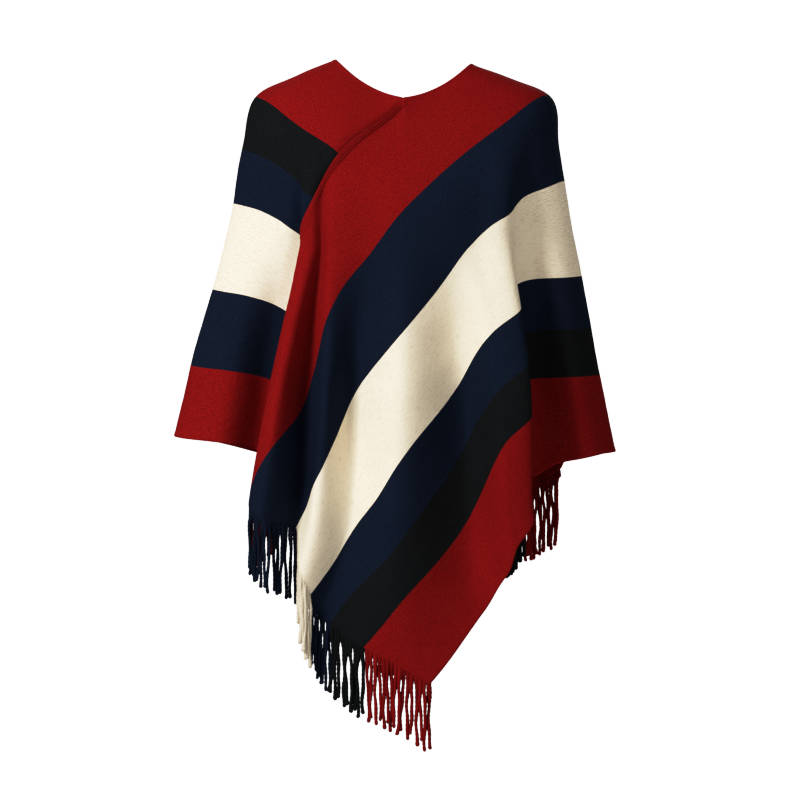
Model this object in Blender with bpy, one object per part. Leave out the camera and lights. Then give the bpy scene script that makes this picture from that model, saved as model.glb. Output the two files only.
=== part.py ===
"""A knitted two-panel poncho with fringed ends, hanging as it is worn.

The garment is two striped rectangles. Each lies over one shoulder, and its
plain end is sewn to the neck side of the other, so the stripes cross the body
slantwise in front and behind. The neck opening is a V in front and behind,
the points hang at the middle, and the fringed end of each panel runs down
one side of its own point.

Frame: metres, +Z up, +X to the wearer's left, the front faces -Y. The origin
is on the middle line at the height of the two V points, where the wearer's
shoulders carry the cloth.

The cloth is worked out in two steps. A place on a panel is u along it and v
across it from the neck side. Both turn into a run (how far the place lies
from the crown, the point the cloth fans out from) and a turn (0 at the middle
of the front, 1 at the wearer's left arm, 2 at the middle of the back, 3 or -1
at the right arm). SECTIONS gives the size of the hanging ring for each run,
and RAILS gives the line of each fold along it.
"""
import math
from collections import namedtuple
from functools import lru_cache

import bpy
from mathutils import Vector

MM = 0.001

# The cut of each panel
PANEL_WIDTH = 620 * MM
PANEL_LENGTH = 900 * MM
NECK_RUN = PANEL_LENGTH - PANEL_WIDTH
CROWN = NECK_RUN / 2
CLOTH = 2.6 * MM
SEAM_GAP = 0.3 * MM
FRINGE_GAP = 1.2 * MM

# Stripes from the neck side of a panel to its outer edge
Stripe = namedtuple("Stripe", "name width steps yarn strands")
STRIPES_LEFT = (
    Stripe("1_red", 110 * MM, 5, "red", 15),
    Stripe("2_navy", 120 * MM, 5, "navy", 16),
    Stripe("3_cream", 130 * MM, 5, "cream", 18),
    Stripe("4_navy", 75 * MM, 3, "navy", 10),
    Stripe("5_black", 70 * MM, 3, "black", 9),
    Stripe("6_red", 115 * MM, 5, "red", 16),
)
STRIPES_RIGHT = (
    Stripe("1_red", 115 * MM, 5, "red", 16),
    Stripe("2_black", 70 * MM, 3, "black", 9),
    Stripe("3_navy", 75 * MM, 3, "navy", 10),
    Stripe("4_cream", 130 * MM, 5, "cream", 18),
    Stripe("5_navy", 120 * MM, 5, "navy", 16),
    Stripe("6_red", 110 * MM, 5, "red", 15),
)
NECK_STEPS = 12

# Yarn colours (linear RGB) and their roughness
YARNS = {
    "red": (0.230, 0.010, 0.012),
    "navy": (0.006, 0.010, 0.028),
    "cream": (0.780, 0.690, 0.540),
    "black": (0.008, 0.009, 0.009),
}
YARN_ROUGHNESS = 0.92

# The hanging ring: how far each arm line reaches from the middle, the height
# of each arm line and of the middle line, and how far the yoke stands forward
Section = namedtuple("Section", "run reach_right reach_left arm_right arm_left middle forward swing")
SECTIONS = (
    Section(140, 95, 93, 54, 48, 57, 52, 0),
    Section(198, 152, 150, 30, 26, 0, 75, 0),
    Section(255, 207, 206, 1, 0, -56, 100, 0),
    Section(320, 225, 216, -67, -64, -122, 122, 0),
    Section(420, 242, 233, -168, -170, -222, 140, 0),
    Section(520, 265, 252, -260, -270, -320, 146, 0),
    Section(620, 291, 269, -349, -366, -414, 150, 0),
    Section(720, 312, 288, -438, -459, -511, 150, 0),
    Section(820, 335, 306, -531, -553, -618, 150, 0),
    Section(920, 358, 325, -622, -645, -703, 150, 0),
    Section(1075, 390, 350, -760, -785, -820, 145, 22),
)
NECK_SAG = 1.25
NECK_EASE = 50 * MM
SHOULDER_POWER = 2.4
YOKE_SPREAD = 54

# How much of the arm line's height the cloth has at each turn from the middle,
# on the yoke and further down, where the sleeves hang level
ArmShare = namedtuple("ArmShare", "turn yoke_right yoke_left sleeve_right sleeve_left")
ARM_SHARES = (
    ArmShare(-0.25, 0.130, 0.100, 0.047, 0.047),
    ArmShare(0.00, 0.000, 0.000, 0.000, 0.000),
    ArmShare(0.25, 0.130, 0.100, 0.047, 0.047),
    ArmShare(0.40, 0.310, 0.250, 0.140, 0.140),
    ArmShare(0.50, 0.370, 0.360, 0.250, 0.260),
    ArmShare(0.60, 0.450, 0.480, 0.440, 0.460),
    ArmShare(0.72, 0.610, 0.670, 0.740, 0.800),
    ArmShare(0.82, 0.780, 0.840, 0.900, 0.930),
    ArmShare(0.92, 0.920, 0.960, 0.970, 0.985),
    ArmShare(1.00, 1.000, 1.000, 1.000, 1.000),
    ArmShare(1.08, 0.920, 0.960, 0.970, 0.985),
)

# Fold lines down the cloth, from the right arm over the front to the left arm.
# Each level is (turn, across, forward) in mm: across from the middle line, or
# in from the arm's outer line where the rail belongs to a sleeve.
Rail = namedtuple("Rail", "name sleeve chest waist hip point")
RAIL_RUNS = (420 * MM, 620 * MM, 820 * MM, 950 * MM)
FOLDS_START = 270 * MM
RAILS = (
    Rail("arm", True, (-1.00, 0, 0), (-1.00, 0, 0), (-1.00, 0, 0), (-1.00, 0, 0)),
    Rail("arm_front", True, (-0.91, 12, 36), (-0.92, 14, 36), (-0.92, 15, 36), (-0.92, 16, 36)),
    Rail("sleeve_ridge", True, (-0.80, 42, 60), (-0.85, 56, 60), (-0.86, 68, 64), (-0.86, 70, 64)),
    Rail("sleeve_valley", True, (-0.68, 77, 84), (-0.78, 100, 42), (-0.80, 120, 38), (-0.80, 126, 38)),
    Rail("seam_valley", False, (-0.585, -138, 88), (-0.70, -166, 60), (-0.71, -182, 60), (-0.71, -190, 60)),
    Rail("seam_fold", False, (-0.54, -143, 104), (-0.61, -183, 104), (-0.58, -218, 106), (-0.57, -235, 106)),
    Rail("roll", False, (-0.48, -128, 114), (-0.56, -171, 122), (-0.53, -202, 128), (-0.52, -220, 126)),
    Rail("roll_valley", False, (-0.42, -116, 106), (-0.49, -140, 84), (-0.43, -144, 82), (-0.42, -180, 90)),
    Rail("side_ridge", False, (-0.34, -104, 122), (-0.36, -110, 136), (-0.33, -130, 138), (-0.30, -154, 134)),
    Rail("side_valley", False, (-0.20, -52, 128), (-0.21, -74, 98), (-0.19, -78, 108), (-0.20, -116, 114)),
    Rail("middle_ridge", False, (-0.02, -2, 140), (-0.02, -3, 150), (-0.04, -15, 150), (-0.05, -23, 146)),
    Rail("breast_valley", False, (0.20, 56, 134), (0.19, 77, 94), (0.22, 96, 102), (0.17, 102, 118)),
    Rail("breast_ridge", False, (0.42, 99, 122), (0.43, 133, 144), (0.42, 152, 142), (0.36, 178, 134)),
    Rail("front_fold", False, (0.60, 146, 113), (0.60, 174, 130), (0.54, 180, 128), (0.50, 204, 124)),
    Rail("hidden_fold", False, (0.68, 156, 88), (0.70, 142, 80), (0.66, 100, 80), (0.62, 120, 84)),
    Rail("arm_valley", True, (0.77, 56, 66), (0.79, 88, 46), (0.79, 110, 44), (0.79, 115, 44)),
    Rail("arm_ridge", True, (0.88, 20, 46), (0.88, 36, 60), (0.88, 40, 60), (0.88, 44, 60)),
    Rail("arm_side", True, (0.95, 6, 28), (0.95, 10, 30), (0.95, 12, 30), (0.95, 12, 30)),
)

# Those that run otherwise on the back
BACK_RAILS = (
    Rail("sleeve_valley", True, (-0.68, 77, 84), (-0.80, 70, 42), (-0.84, 72, 40), (-0.84, 80, 40)),
    Rail("seam_valley", False, (-0.585, -138, 88), (-0.72, -190, 62), (-0.76, -220, 70), (-0.76, -224, 70)),
    Rail("seam_fold", False, (-0.54, -143, 104), (-0.61, -183, 104), (-0.67, -188, 106), (-0.66, -194, 106)),
    Rail("roll", False, (-0.48, -128, 114), (-0.56, -171, 118), (-0.57, -162, 88), (-0.56, -166, 92)),
    Rail("roll_valley", False, (-0.42, -116, 106), (-0.49, -140, 84), (-0.44, -146, 118), (-0.43, -152, 118)),
    Rail("side_ridge", False, (-0.34, -104, 122), (-0.36, -110, 136), (-0.33, -115, 136), (-0.30, -129, 130)),
    Rail("side_valley", False, (-0.20, -52, 128), (-0.21, -74, 98), (-0.19, -74, 108), (-0.20, -102, 114)),
)
BACK_DEPTH = 0.82
BACK_HANG = 0.88
RING_STEP = 10 * MM

# Where the hanging cloth is hitched up or let down on each side, from a run on
Hitch = namedtuple("Hitch", "front turn spread rise start ease")
HITCHES = (
    Hitch(True, -0.430, 0.085, 25, 700, 140),
    Hitch(True, -0.210, 0.070, -9, 700, 140),
    Hitch(True, -0.480, 0.080, -14, 520, 60),
    Hitch(True, -0.460, 0.100, 14, 720, 80),
    Hitch(True, -0.175, 0.055, 20, 690, 100),
    Hitch(True, -0.170, 0.070, -20, 880, 80),
    Hitch(True, 0.300, 0.180, 18, 360, 200),
    Hitch(True, 0.250, 0.170, -18, 680, 80),
    Hitch(True, 0.120, 0.100, 8, 880, 80),
    Hitch(True, 0.520, 0.090, 8, 350, 60),
    Hitch(True, 0.500, 0.100, -8, 720, 80),
    Hitch(True, 0.360, 0.060, -12, 820, 50),
    Hitch(True, 0.800, 0.120, -7, 340, 50),
    Hitch(True, 0.760, 0.120, 16, 400, 120),
    Hitch(True, 0.775, 0.030, -16, 710, 50),
    Hitch(True, 0.800, 0.100, -22, 700, 140),
    Hitch(False, -0.720, 0.140, -34, 700, 140),
    Hitch(False, -0.500, 0.080, -9, 700, 140),
    Hitch(False, 0.720, 0.100, -14, 640, 100),
)

# Fringe
STRIP_DEPTH = 7 * MM
STRAND_WIDTH = 2.8 * MM
STRAND_TIP = 1.7 * MM
STRAND_LENGTH = 96 * MM
STRAND_UNEVEN = 9 * MM
STRAND_SWAY = 1.6 * MM
STRAND_BENDS = 2


def smoothstep(amount):
    """Ease a 0 to 1 amount in and out."""
    held = min(max(amount, 0.0), 1.0)
    return held * held * (3.0 - 2.0 * held)


def curve_through(places, values, at):
    """Read a smooth curve through values at rising places; straight past its ends."""
    last = len(places) - 1

    def secant(k):
        return (values[k + 1] - values[k]) / (places[k + 1] - places[k])

    def slope(k):
        if k == 0:
            return secant(0)
        if k == last:
            return secant(last - 1)
        before = places[k] - places[k - 1]
        after = places[k + 1] - places[k]
        return (secant(k - 1) * after + secant(k) * before) / (before + after)

    if at <= places[0]:
        return values[0] + slope(0) * (at - places[0])
    if at >= places[last]:
        return values[last] + slope(last) * (at - places[last])
    k = max(index for index in range(last) if places[index] <= at)
    span = places[k + 1] - places[k]
    t = (at - places[k]) / span
    rise = values[k + 1] - values[k]
    start = slope(k) * span
    end = slope(k + 1) * span
    return values[k] + t * start + t * t * (3 * rise - 2 * start - end) + t ** 3 * (start + end - 2 * rise)


def section(column, run):
    """Size of the hanging ring in one column of SECTIONS, in metres."""
    runs = [row.run * MM for row in SECTIONS]
    sizes = [getattr(row, column) * MM for row in SECTIONS]
    return curve_through(runs, sizes, run)


def arm_of(turn, front):
    """Which arm a turn of the front or back leads to."""
    return "right" if (turn < 0) == front else "left"


def yoke_place(turn, run, reach):
    """Across and forward on the smooth yoke over the shoulders."""
    across = reach * math.sin(math.radians(YOKE_SPREAD * turn)) / math.sin(math.radians(YOKE_SPREAD))
    forward = section("forward", run) * math.sqrt(max(0.0, 1 - abs(turn) ** SHOULDER_POWER))
    return across, forward


def rail_place(rail, run, front):
    """Turn, across and forward of one fold line at a run, before it is faced."""
    levels = (rail.chest, rail.waist, rail.hip, rail.point)
    fold_run = max(run, RAIL_RUNS[0])
    turn = curve_through(RAIL_RUNS, [level[0] for level in levels], fold_run)
    across = curve_through(RAIL_RUNS, [level[1] * MM for level in levels], fold_run)
    forward = curve_through(RAIL_RUNS, [level[2] * MM for level in levels], fold_run)
    side = math.copysign(1, turn)
    arm = arm_of(turn, front)
    if rail.sleeve:
        across = side * (section("reach_" + arm, run) - across)
    else:
        across += section("swing", run)
    yoke_across, yoke_forward = yoke_place(turn, run, section("reach_" + arm, run))
    fold = smoothstep((run - FOLDS_START) / (RAIL_RUNS[0] - FOLDS_START))
    across = yoke_across + (across - yoke_across) * fold
    forward = yoke_forward + (forward - yoke_forward) * fold
    return turn, across, forward


def rails_of(front):
    """The fold lines of the front or the back, in order."""
    changed = {} if front else {rail.name: rail for rail in BACK_RAILS}
    return [changed.get(rail.name, rail) for rail in RAILS]


@lru_cache(maxsize=None)
def ring_of_step(step):
    """The closed ring of fold lines at a whole number of ring steps from the crown."""
    run = step * RING_STEP
    turns, xs, ys = [], [], []
    for front in (True, False):
        facing = 1 if front else -1
        depth = 1 if front else BACK_DEPTH
        for rail in rails_of(front):
            turn, across, forward = rail_place(rail, run, front)
            turns.append(turn + (0 if front else 2))
            xs.append(across * facing)
            ys.append(-forward * facing * depth)
    return closed(turns, 4), closed(xs, 0), closed(ys, 0)


def closed(values, step):
    """Repeat a ring's ends so that a curve runs smoothly through its join."""
    before = [value - step for value in values[-2:]]
    after = [value + step for value in values[:3]]
    return before + values + after


def ring_at(run):
    """The ring at any run, between its two nearest steps."""
    step = math.floor(run / RING_STEP)
    share = run / RING_STEP - step
    upper, lower = ring_of_step(step), ring_of_step(step + 1)
    return [[a + (b - a) * share for a, b in zip(*pair)] for pair in zip(upper, lower)]


def wrapped(turn):
    """A turn brought into -1 to 3."""
    return (turn + 1) % 4 - 1


def neck_run(turn):
    """Run of the neck edge at a turn of the front or back."""
    return CROWN / math.sin(math.radians(45 + 45 * abs(turn)))


def hung_height(run, turn, arm, hang):
    """Height between the middle line and the arm line."""
    turns = [row.turn for row in ARM_SHARES]
    yoke = curve_through(turns, [getattr(row, "yoke_" + arm) for row in ARM_SHARES], abs(turn))
    sleeve = curve_through(turns, [getattr(row, "sleeve_" + arm) for row in ARM_SHARES], abs(turn))
    share = yoke + (sleeve - yoke) * smoothstep((run - FOLDS_START) / (RAIL_RUNS[0] - FOLDS_START))
    return section("middle", run) * hang * (1 - share) + section("arm_" + arm, run) * share


def hitched(run, turn, front):
    """How far the cloth is hitched up at a turn of the front or back."""
    rise = 0.0
    for row in HITCHES:
        if row.front == front:
            bump = row.rise * MM * math.exp(-((turn - row.turn) / row.spread) ** 2)
            rise += bump * smoothstep((run / MM - row.start) / row.ease)
    return rise


def height(run, turn):
    """Height of the cloth at a run and a turn."""
    front = turn <= 1
    local = turn if front else turn - 2
    arm = arm_of(local, front)
    hang = 1 if front else BACK_HANG
    start = neck_run(local)
    neck = section("arm_" + arm, CROWN) * abs(local) ** NECK_SAG
    lift = neck - hung_height(start, local, arm, hang)
    hung = hung_height(run, local, arm, hang) + lift * math.exp(-(run - start) / NECK_EASE)
    return hung + hitched(run, local, front)


def cloth_point(run, turn):
    """The middle of the cloth's thickness at a run and a turn."""
    turn = wrapped(turn)
    turns, xs, ys = ring_at(run)
    x = curve_through(turns, xs, turn)
    y = curve_through(turns, ys, turn)
    return Vector((x, y, height(run, turn)))


def panel_place(u, v, turned):
    """Run and turn of a place on the left panel, or on the right one when turned."""
    run = math.hypot(u - CROWN, v + CROWN)
    turn = math.degrees(math.atan2(v + CROWN, u - CROWN)) / 45 - 1
    return run, turn + (2 if turned else 0)


def cloth_frame(u, v, turned):
    """Middle point of the cloth and its outward normal."""
    run, turn = panel_place(u, v, turned)
    nudge = 1.5 * MM
    along = cloth_point(run + nudge, turn) - cloth_point(run - nudge, turn)
    angle = nudge / run
    around = cloth_point(run, turn + angle) - cloth_point(run, turn - angle)
    return cloth_point(run, turn), along.cross(around).normalized()


def stripe_lines(stripes):
    """Places across a panel where its mesh lines run, with each stripe's edges on one."""
    lines = [0.0]
    for stripe in stripes:
        start = lines[-1]
        for step in range(1, stripe.steps + 1):
            lines.append(start + stripe.width * step / stripe.steps)
    return lines


def stripe_of_step(stripes):
    """Yarn of each step between the stripe lines."""
    return [stripe.yarn for stripe in stripes for _ in range(stripe.steps)]


def yarn_material(name):
    """A matt yarn."""
    if name in bpy.data.materials:
        return bpy.data.materials[name]
    material = bpy.data.materials.new(name)
    material.use_nodes = True
    shader = material.node_tree.nodes["Principled BSDF"]
    shader.inputs["Base Color"].default_value = (*YARNS[name], 1)
    shader.inputs["Roughness"].default_value = YARN_ROUGHNESS
    shader.inputs["Metallic"].default_value = 0
    return material


def add_object(name, points, faces, yarns, face_yarns):
    """Make one named mesh object, with a yarn for each face."""
    mesh = bpy.data.meshes.new(name)
    mesh.from_pydata([tuple(point) for point in points], [], faces)
    for yarn in yarns:
        mesh.materials.append(yarn_material(yarn))
    for polygon, yarn in zip(mesh.polygons, face_yarns):
        polygon.material_index = yarns.index(yarn)
    mesh.shade_smooth()
    mesh.set_sharp_from_angle(angle=math.radians(60))
    item = bpy.data.objects.new(name, mesh)
    bpy.context.scene.collection.objects.link(item)
    return item


def rim_faces(corners, mirrored):
    """Two triangles of a panel's rim, split the same way on both sides of a seam."""
    outer_start, outer_end, inner_end, inner_start = corners
    pair = [(outer_end, outer_start, inner_end), (inner_end, outer_start, inner_start)]
    return [tuple(reversed(face)) for face in pair] if mirrored else pair


def build_panel(name, stripes, other_stripes, turned):
    """One striped rectangle of cloth, hanging in its place."""
    seam = SEAM_GAP / 2
    across = stripe_lines(stripes)
    across[0] += seam
    neck = [NECK_RUN * step / NECK_STEPS for step in range(NECK_STEPS)]
    along = neck + [NECK_RUN + line for line in stripe_lines(other_stripes)]
    along[0] += seam
    frames = [[cloth_frame(u, v, turned) for v in across] for u in along]
    rows, columns = len(along), len(across)
    half = CLOTH / 2
    points = [point + normal * half for row in frames for point, normal in row]
    points += [point - normal * half for row in frames for point, normal in row]
    inner = rows * columns

    def at(i, j):
        return i * columns + j

    step_yarn = stripe_of_step(stripes)
    faces, face_yarns = [], []
    for i in range(rows - 1):
        for j in range(columns - 1):
            corners = (at(i, j), at(i + 1, j), at(i + 1, j + 1), at(i, j + 1))
            if along[i] < CROWN:
                corners = corners[1:] + corners[:1]
            for face in ((corners[0], corners[1], corners[2]), (corners[0], corners[2], corners[3])):
                faces.append(face)
                faces.append(tuple(index + inner for index in reversed(face)))
                face_yarns += [step_yarn[j]] * 2
    rim = [(at(i, 0), at(i + 1, 0), False, step_yarn[0]) for i in range(rows - 1)]
    rim += [(at(rows - 1, j), at(rows - 1, j + 1), False, step_yarn[j]) for j in range(columns - 1)]
    rim += [(at(i, columns - 1), at(i + 1, columns - 1), True, step_yarn[-1]) for i in range(rows - 1)]
    rim += [(at(0, j), at(0, j + 1), True, step_yarn[j]) for j in range(columns - 1)]
    for start, end, mirrored, yarn in rim:
        faces += rim_faces((start, end, end + inner, start + inner), mirrored)
        face_yarns += [yarn] * 2
    yarns = sorted(set(step_yarn))
    return add_object(name, points, faces, yarns, face_yarns)


def between(lines, values, place):
    """Straight-line reading of vectors given at the panel's mesh lines."""
    k = max(index for index in range(len(lines) - 1) if lines[index] <= place + 1e-9)
    share = (place - lines[k]) / (lines[k + 1] - lines[k])
    return values[k].lerp(values[k + 1], share)


def strand_cuts(start, end, strands):
    """Places along a fringe strip: its ends and both sides of each strand."""
    pitch = (end - start) / strands
    cuts = [start]
    for index in range(strands):
        middle = start + pitch * (index + 0.5)
        cuts += [middle - STRAND_WIDTH / 2, middle + STRAND_WIDTH / 2]
    return cuts + [end]


def build_fringe(name, stripes, turned):
    """Strips of fringe along a panel's end, one object for each stripe."""
    lines = stripe_lines(stripes)
    tops = [cloth_frame(PANEL_LENGTH + FRINGE_GAP, v, turned) for v in lines]
    feet = [cloth_frame(PANEL_LENGTH + STRIP_DEPTH, v, turned)[0] for v in lines]
    top_points = [frame[0] for frame in tops]
    normals = [frame[1] for frame in tops]
    edge = 0.0
    for stripe in stripes:
        start = edge + SEAM_GAP / 2
        edge += stripe.width
        cuts = strand_cuts(start, edge - SEAM_GAP / 2, stripe.strands)
        build_fringe_strip(f"{name}_{stripe.name}", stripe.yarn, cuts, lines, top_points, feet, normals)


def strand_drop(place, depth):
    """Lean of a hanging strand at a share of its length."""
    turn = place / PANEL_WIDTH * math.tau
    sway = STRAND_SWAY * math.sin(9 * turn + 4 * depth) * depth
    swing = STRAND_SWAY * math.cos(7 * turn + 3 * depth) * depth
    return Vector((sway, swing, 0))


def strand_length(place):
    """Length of the strand rooted at a place, uneven along the edge."""
    turn = place / PANEL_WIDTH * math.tau
    return STRAND_LENGTH + STRAND_UNEVEN * (0.6 * math.sin(5 * turn) + 0.4 * math.sin(61 * turn))


def build_fringe_strip(name, yarn, cuts, lines, tops, feet, normals):
    """One strip with its strands drawn out of its lower edge."""
    half = CLOTH / 2
    points, faces = [], []
    for cut in cuts:
        normal = between(lines, normals, cut).normalized()
        top = between(lines, tops, cut)
        foot = between(lines, feet, cut)
        points += [top + normal * half, top - normal * half, foot + normal * half, foot - normal * half]

    def corner(cut_index, which):
        return cut_index * 4 + which

    faces.append((corner(0, 0), corner(0, 1), corner(0, 3), corner(0, 2)))
    last = len(cuts) - 1
    faces.append((corner(last, 0), corner(last, 2), corner(last, 3), corner(last, 1)))
    for k in range(last):
        faces.append((corner(k, 0), corner(k + 1, 0), corner(k + 1, 1), corner(k, 1)))
        faces.append((corner(k, 0), corner(k, 2), corner(k + 1, 2), corner(k + 1, 0)))
        faces.append((corner(k, 1), corner(k + 1, 1), corner(k + 1, 3), corner(k, 3)))
        root = (corner(k, 2), corner(k, 3), corner(k + 1, 3), corner(k + 1, 2))
        if k % 2 == 0:
            faces.append(root)
        else:
            add_strand(points, faces, root, (cuts[k] + cuts[k + 1]) / 2)
    add_object(name, points, faces, [yarn], [yarn] * len(faces))


def add_strand(points, faces, root, place):
    """Draw one four-sided strand down from a root face."""
    ring = root
    centre = sum((points[index] for index in root), Vector()) / 4
    offsets = [points[index] - centre for index in root]
    length = strand_length(place)
    narrow = STRAND_TIP / STRAND_WIDTH
    for bend in range(1, STRAND_BENDS + 1):
        depth = bend / STRAND_BENDS
        middle = centre + strand_drop(place, depth) - Vector((0, 0, length * depth))
        size = 1 + (narrow - 1) * depth
        first = len(points)
        for offset in offsets:
            flat = Vector((offset.x, offset.y, offset.z * (1 - depth) * 0.5))
            points.append(middle + flat * size)
        lower = tuple(range(first, first + 4))
        for side in range(4):
            following = (side + 1) % 4
            faces.append((ring[side], ring[following], lower[following], lower[side]))
        ring = lower
    faces.append(ring)


def clear_scene():
    """Start from an empty scene."""
    for item in list(bpy.data.objects):
        bpy.data.objects.remove(item, do_unlink=True)


def main():
    """Build both panels and their fringes."""
    clear_scene()
    build_panel("panel_left_shoulder", STRIPES_LEFT, STRIPES_RIGHT, False)
    build_panel("panel_right_shoulder", STRIPES_RIGHT, STRIPES_LEFT, True)
    build_fringe("front_fringe", STRIPES_LEFT, False)
    build_fringe("back_fringe", STRIPES_RIGHT, True)


main()
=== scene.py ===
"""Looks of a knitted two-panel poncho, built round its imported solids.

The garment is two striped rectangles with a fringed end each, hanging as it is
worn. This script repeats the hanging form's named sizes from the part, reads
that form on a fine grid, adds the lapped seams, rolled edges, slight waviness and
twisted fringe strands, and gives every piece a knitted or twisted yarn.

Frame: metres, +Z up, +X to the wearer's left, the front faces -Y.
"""
import math
from collections import namedtuple

import bpy
import numpy as np
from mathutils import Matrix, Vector

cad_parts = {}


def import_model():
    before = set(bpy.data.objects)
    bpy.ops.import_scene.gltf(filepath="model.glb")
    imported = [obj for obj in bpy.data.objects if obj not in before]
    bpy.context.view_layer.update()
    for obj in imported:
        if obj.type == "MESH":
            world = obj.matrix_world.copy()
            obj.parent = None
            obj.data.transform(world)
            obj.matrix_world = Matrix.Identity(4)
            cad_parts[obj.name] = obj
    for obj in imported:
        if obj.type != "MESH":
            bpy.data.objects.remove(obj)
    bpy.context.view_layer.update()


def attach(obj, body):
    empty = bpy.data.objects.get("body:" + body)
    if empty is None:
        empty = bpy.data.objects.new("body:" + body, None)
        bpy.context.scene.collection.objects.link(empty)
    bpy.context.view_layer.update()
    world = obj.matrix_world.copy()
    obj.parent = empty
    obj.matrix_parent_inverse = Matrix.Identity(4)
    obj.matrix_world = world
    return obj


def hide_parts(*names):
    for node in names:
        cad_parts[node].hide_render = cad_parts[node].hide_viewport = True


MM = 0.001

# The cut of each panel
PANEL_WIDTH = 620 * MM
PANEL_LENGTH = 900 * MM
NECK_RUN = PANEL_LENGTH - PANEL_WIDTH
CROWN = NECK_RUN / 2
CLOTH = 2.6 * MM

# Stripes from the neck side of a panel to its outer edge
Stripe = namedtuple("Stripe", "name width yarn strands")
STRIPES_LEFT = (
    Stripe("1_red", 110 * MM, "red", 15),
    Stripe("2_navy", 120 * MM, "navy", 16),
    Stripe("3_cream", 130 * MM, "cream", 18),
    Stripe("4_navy", 75 * MM, "navy", 10),
    Stripe("5_black", 70 * MM, "black", 9),
    Stripe("6_red", 115 * MM, "red", 16),
)
STRIPES_RIGHT = (
    Stripe("1_red", 115 * MM, "red", 16),
    Stripe("2_black", 70 * MM, "black", 9),
    Stripe("3_navy", 75 * MM, "navy", 10),
    Stripe("4_cream", 130 * MM, "cream", 18),
    Stripe("5_navy", 120 * MM, "navy", 16),
    Stripe("6_red", 110 * MM, "red", 15),
)

# Mesh lines of the cloth, closer together at rounded edges and along the seam
GRID = 4.2 * MM
EDGE_ROUND = 1.3 * MM
THINNEST_EDGE = 0.02
EDGE_LINES = (0.0, 0.45 * MM, EDGE_ROUND, 2.6 * MM)
SEAM_LINE_STEP = 0.6 * MM
SEAM_DEPTH = 12.6 * MM
NORMAL_NUDGE = 1.5 * MM

# The plain end of a panel tucks in under the other panel's edge
LAP = 4 * MM
TUCK = 2.3 * MM
TUCK_START = 0.5 * MM
TUCK_RUN = 7 * MM

# Raised rows and rows of painted shade along an edge, in millimetres in from it, with their share of the
# wander
Row = namedtuple("Row", "inward strength spread wander")
SEAM_CORDS = (
    Row(1.8, 0.9, 1.0, 0.0),
    Row(4.5, 1.2, 1.0, 0.5),
    Row(7.2, 0.9, 1.0, 1.0),
)
# Painted shade in the grooves between the seam's cords
SEAM_GROOVE_SHADE = (
    Row(0.2, 0.8, 0.7, 0.0),
    Row(3.1, 0.8, 0.7, 0.5),
    Row(5.8, 0.7, 0.7, 0.8),
    Row(8.6, 0.5, 0.7, 1.0),
)
SEAM_ROLL = Row(4.8, 2.1, 4.4, 0.0)
NECK_BEAD = Row(3.2, 0.7, 2.4, 0.0)
HEM_BEAD = Row(2.8, 0.55, 2.2, 0.0)
# Painted shadow on the lower panel under the upper panel's lapped edge
LAP_SHADOW = Row(0.8, 0.7, 1.5, 0.0)
SEAM_WANDER = 0.6 * MM
SEAM_WAVE = 17 * MM
SEAM_LIFT = 1.2
SEAM_LIFT_DEPTH = 7 * MM
SEAM_JOIN_RUN = 22 * MM

# How the seam's cords rise from the neck point, weaken lower down and vary on the way
SEAM_RISE_START = 2 * MM
SEAM_RISE_RUN = 16 * MM
SEAM_FADE = 0.75
SEAM_FADE_START = 95 * MM
SEAM_FADE_RUN = 110 * MM
SEAM_LIVELY = 0.16
SEAM_LIVELY_WAVE = 19 * MM
SEAM_LIVELY_FRONT = 0.2
SEAM_LIVELY_BACK = 1.1

# Slight waviness of the cloth: two crossed waves for each row, all in millimetres but the phase
Wave = namedtuple("Wave", "high along across other_along other_across phase")
WAVES = (
    Wave(0.42, 19, 43, -61, 23, 0.7),
    Wave(0.13, 8.3, -12, 15, 7.1, 0.0),
)
BACK_WAVE_SHIFT = 1.7
WAVES_START = 14 * MM

# The hanging ring at each run, as in the part, in millimetres
Section = namedtuple("Section", "run reach_right reach_left arm_right arm_left middle forward swing")
SECTIONS = (
    Section(140, 95, 93, 54, 48, 57, 52, 0),
    Section(198, 152, 150, 30, 26, 0, 75, 0),
    Section(255, 207, 206, 1, 0, -56, 100, 0),
    Section(320, 225, 216, -67, -64, -122, 122, 0),
    Section(420, 242, 233, -168, -170, -222, 140, 0),
    Section(520, 265, 252, -260, -270, -320, 146, 0),
    Section(620, 291, 269, -349, -366, -414, 150, 0),
    Section(720, 312, 288, -438, -459, -511, 150, 0),
    Section(820, 335, 306, -531, -553, -618, 150, 0),
    Section(920, 358, 325, -622, -645, -703, 150, 0),
    Section(1075, 390, 350, -760, -785, -820, 145, 22),
)
NECK_SAG = 1.25
NECK_EASE = 50 * MM
SHOULDER_POWER = 2.4
YOKE_SPREAD = 54

# Share of the way from the middle line's height to the arm line's, as in the part
ArmShare = namedtuple("ArmShare", "turn yoke_right yoke_left sleeve_right sleeve_left")
ARM_SHARES = (
    ArmShare(-0.25, 0.130, 0.100, 0.047, 0.047),
    ArmShare(0.00, 0.000, 0.000, 0.000, 0.000),
    ArmShare(0.25, 0.130, 0.100, 0.047, 0.047),
    ArmShare(0.40, 0.310, 0.250, 0.140, 0.140),
    ArmShare(0.50, 0.370, 0.360, 0.250, 0.260),
    ArmShare(0.60, 0.450, 0.480, 0.440, 0.460),
    ArmShare(0.72, 0.610, 0.670, 0.740, 0.800),
    ArmShare(0.82, 0.780, 0.840, 0.900, 0.930),
    ArmShare(0.92, 0.920, 0.960, 0.970, 0.985),
    ArmShare(1.00, 1.000, 1.000, 1.000, 1.000),
    ArmShare(1.08, 0.920, 0.960, 0.970, 0.985),
)

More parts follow.
